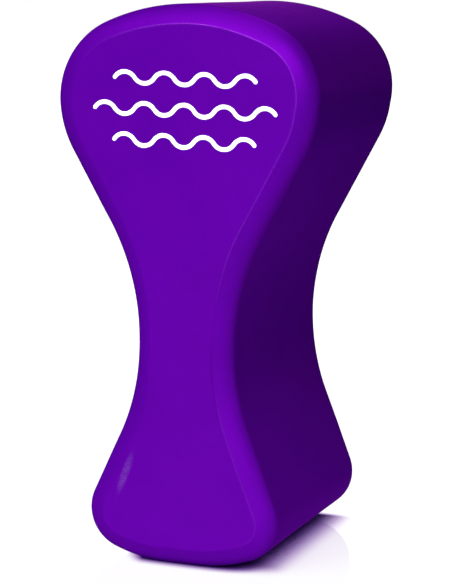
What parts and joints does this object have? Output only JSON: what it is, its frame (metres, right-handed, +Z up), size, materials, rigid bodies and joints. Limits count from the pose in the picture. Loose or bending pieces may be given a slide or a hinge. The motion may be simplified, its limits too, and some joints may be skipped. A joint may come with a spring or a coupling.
{
  "type": "pull buoy",
  "caption": "Figure-eight swim float of solid closed-cell foam with a wide upper lobe, narrow waist, beveled flat faces and a printed water-wave motif.",
  "frame": {"origin": "on the ground under the centre of the block: midway across the width and the depth, at the height of the sole flat", "axes": "+Z up along the length, from the small lobe to the large lobe; +X across the width, so the outline mirrors in X = 0; +Y along the depth, away from the printed front face, which looks towards -Y"},
  "size_m": [0.117, 0.1153, 0.24],
  "materials": {
    "foam": "satin closed-cell EVA foam, violet",
    "ink": "matt white screen-print ink"
  },
  "bodies": {
    "root": {"foam_body": "foam", "front_print": "ink"}
  },
  "joints": []
}
